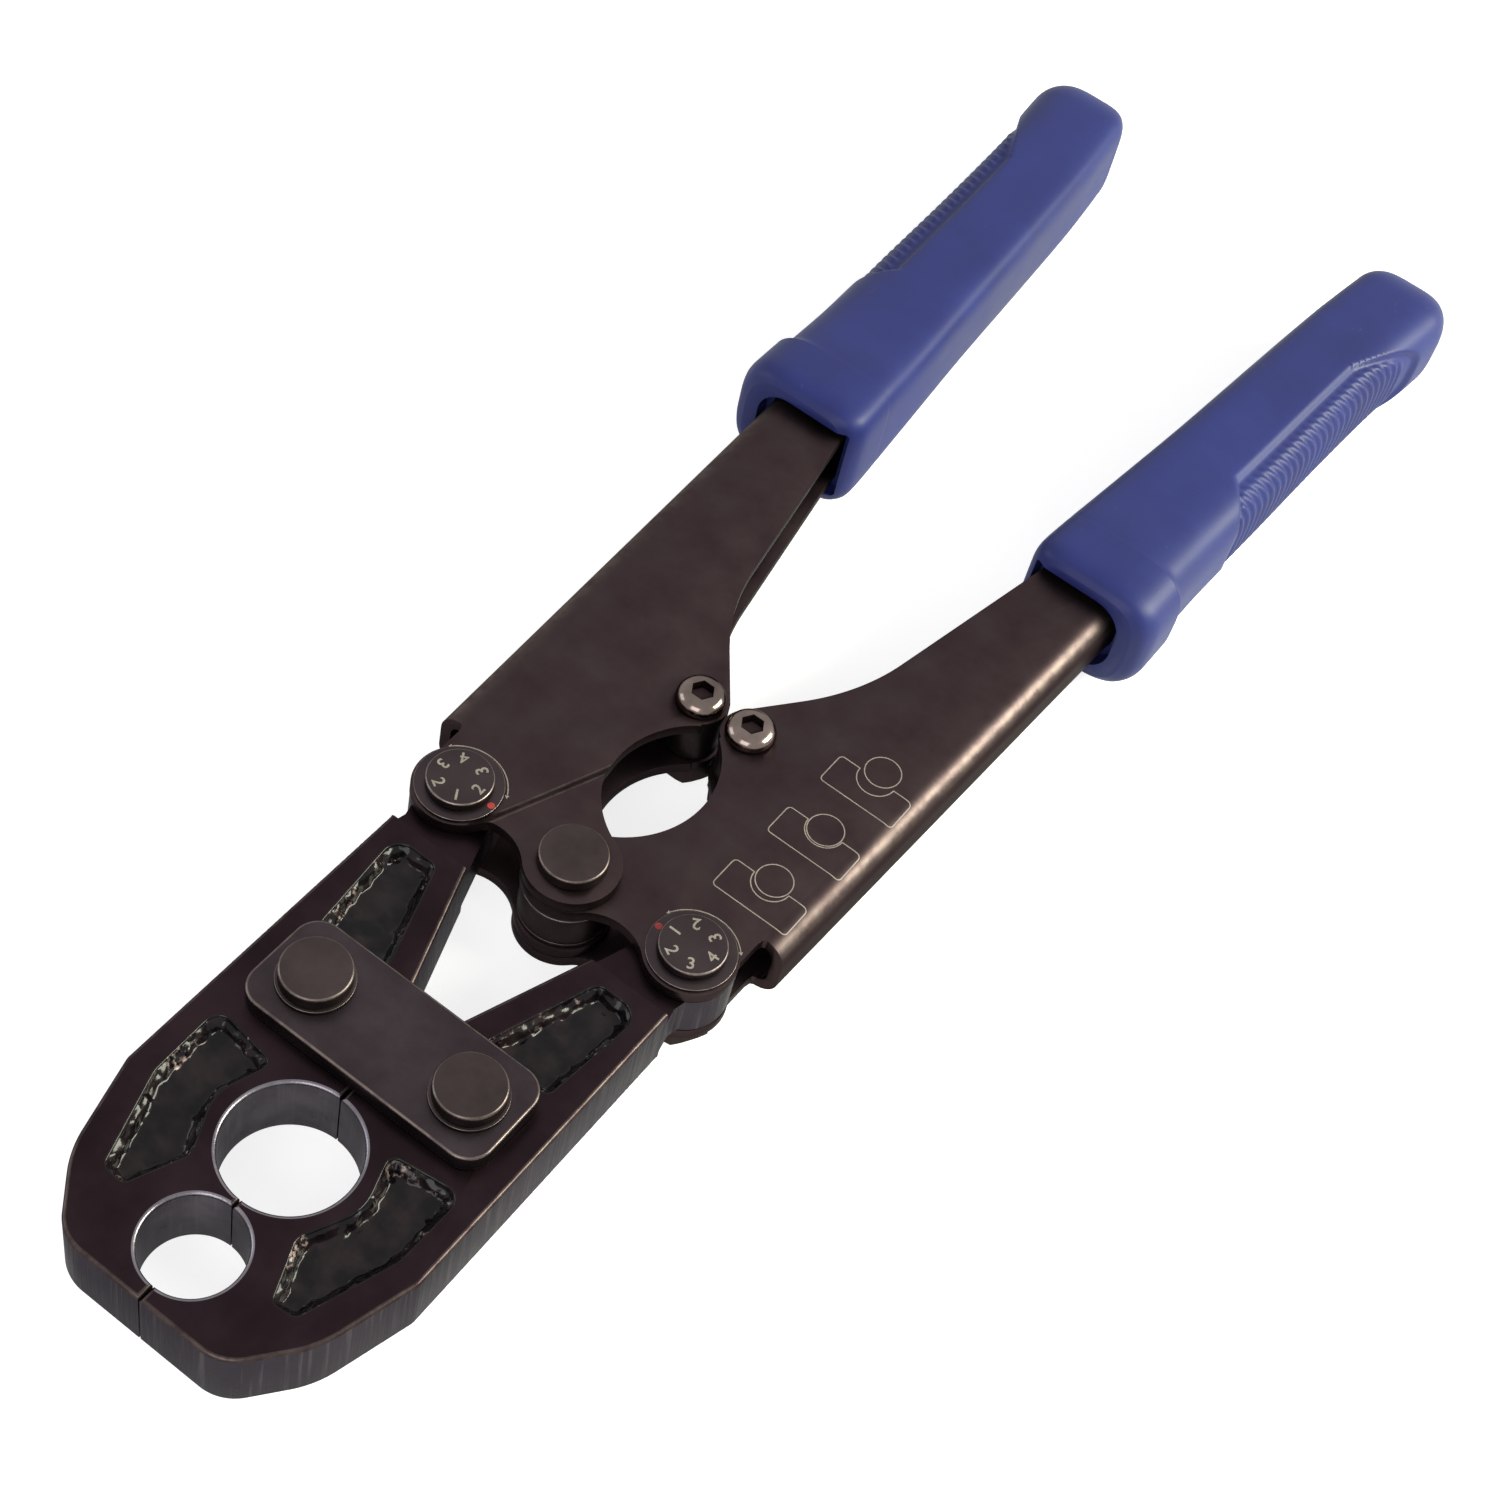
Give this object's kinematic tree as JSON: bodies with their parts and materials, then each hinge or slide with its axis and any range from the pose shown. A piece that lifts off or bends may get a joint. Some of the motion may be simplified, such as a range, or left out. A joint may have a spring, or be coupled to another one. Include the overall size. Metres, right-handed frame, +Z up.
{
  "type": "PEX crimp ring tool",
  "caption": "Compound-lever hand tool whose hinged jaws close two round dies on copper crimp rings, with channel handles, eccentric adjusting dials and moulded grips.",
  "frame": {"origin": "centre of the closed tool's bounding box at its base, on the surface that it lies on", "axes": "+Y from the jaws' noses towards the ends of the grips, +Z up through the pins to their heads, +X to the right handle"},
  "size_m": [0.1128, 0.373, 0.0303],
  "materials": {
    "forged_steel": "glossy black lacquer on forged steel",
    "blackened_steel": "satin brown-black oxide with bright worn edges",
    "pin_steel": "blackened, satin",
    "screw_steel": "gunmetal, semi-bright",
    "blue_plastic": "low-gloss moulded"
  },
  "bodies": {
    "link": {"link_plate_top": "blackened_steel", "link_plate_bottom": "blackened_steel", "link_pin_left": "pin_steel", "link_pin_right": "pin_steel", "link_washer_left": "pin_steel", "link_washer_right": "pin_steel", "link_ring_left": "pin_steel", "link_ring_right": "pin_steel"},
    "jaw_left": {"jaw_left": "forged_steel"},
    "jaw_right": {"jaw_right": "forged_steel"},
    "pivot": {"pivot_pin": "pin_steel", "pivot_spacer": "pin_steel", "pivot_washer_top": "pin_steel", "pivot_washer_bottom": "pin_steel", "pivot_ring": "pin_steel"},
    "handle_left": {"handle_left": "blackened_steel", "grip_left": "blue_plastic", "dial_washer_left": "pin_steel", "lock_washer_left": "pin_steel", "stop_screw_left": "screw_steel", "stop_spacer_left": "pin_steel", "stop_nut_left": "pin_steel"},
    "handle_right": {"handle_right": "blackened_steel", "grip_right": "blue_plastic", "dial_washer_right": "pin_steel", "lock_washer_right": "pin_steel", "stop_screw_right": "screw_steel", "stop_spacer_right": "pin_steel", "stop_nut_right": "pin_steel"},
    "dial_left": {"dial_left": "pin_steel"},
    "lock_nut_left": {"lock_nut_left": "pin_steel"},
    "dial_right": {"dial_right": "pin_steel"},
    "lock_nut_right": {"lock_nut_right": "pin_steel"}
  },
  "joints": [
    {"name": "pivot_slide", "type": "slide", "parent": "link", "child": "pivot", "axis": [0, 1, 0], "range_m": [0, 0.02445]},
    {"name": "handle_left_swing", "type": "hinge", "parent": "pivot", "child": "handle_left", "pos_m": [0, -0.077, 0.0148], "axis": [0, 0, 1], "range_deg": [0, 60]},
    {"name": "handle_right_swing", "type": "hinge", "parent": "pivot", "child": "handle_right", "pos_m": [0, -0.077, 0.0148], "axis": [0, 0, -1], "range_deg": [0, 60]},
    {"name": "jaw_left_swing", "type": "hinge", "parent": "link", "child": "jaw_left", "pos_m": [-0.0169, -0.1265, 0.0148], "axis": [0, 0, -1], "range_deg": [0, 14.25]},
    {"name": "jaw_right_swing", "type": "hinge", "parent": "link", "child": "jaw_right", "pos_m": [0.0169, -0.1265, 0.0148], "axis": [0, 0, 1], "range_deg": [0, 14.25]},
    {"name": "dial_left_turn", "type": "hinge", "parent": "handle_left", "child": "dial_left", "pos_m": [-0.02675, -0.0762, 0.0148], "axis": [0, 0, 1], "continuous": true},
    {"name": "lock_nut_left_turn", "type": "hinge", "parent": "handle_left", "child": "lock_nut_left", "pos_m": [-0.02675, -0.0762, 0.0148], "axis": [0, 0, 1], "continuous": true},
    {"name": "dial_right_turn", "type": "hinge", "parent": "handle_right", "child": "dial_right", "pos_m": [0.02675, -0.0762, 0.0148], "axis": [0, 0, 1], "continuous": true},
    {"name": "lock_nut_right_turn", "type": "hinge", "parent": "handle_right", "child": "lock_nut_right", "pos_m": [0.02675, -0.0762, 0.0148], "axis": [0, 0, 1], "continuous": true}
  ],
  "couplings": [
    {"joint": "handle_right_swing", "follows": "handle_left_swing", "ratio": 1},
    {"joint": "jaw_left_swing", "follows": "handle_left_swing", "ratio": 0.23745},
    {"joint": "jaw_right_swing", "follows": "handle_left_swing", "ratio": 0.23745},
    {"joint": "pivot_slide", "follows": "handle_left_swing", "m_per_rad": 0.023342}
  ]
}
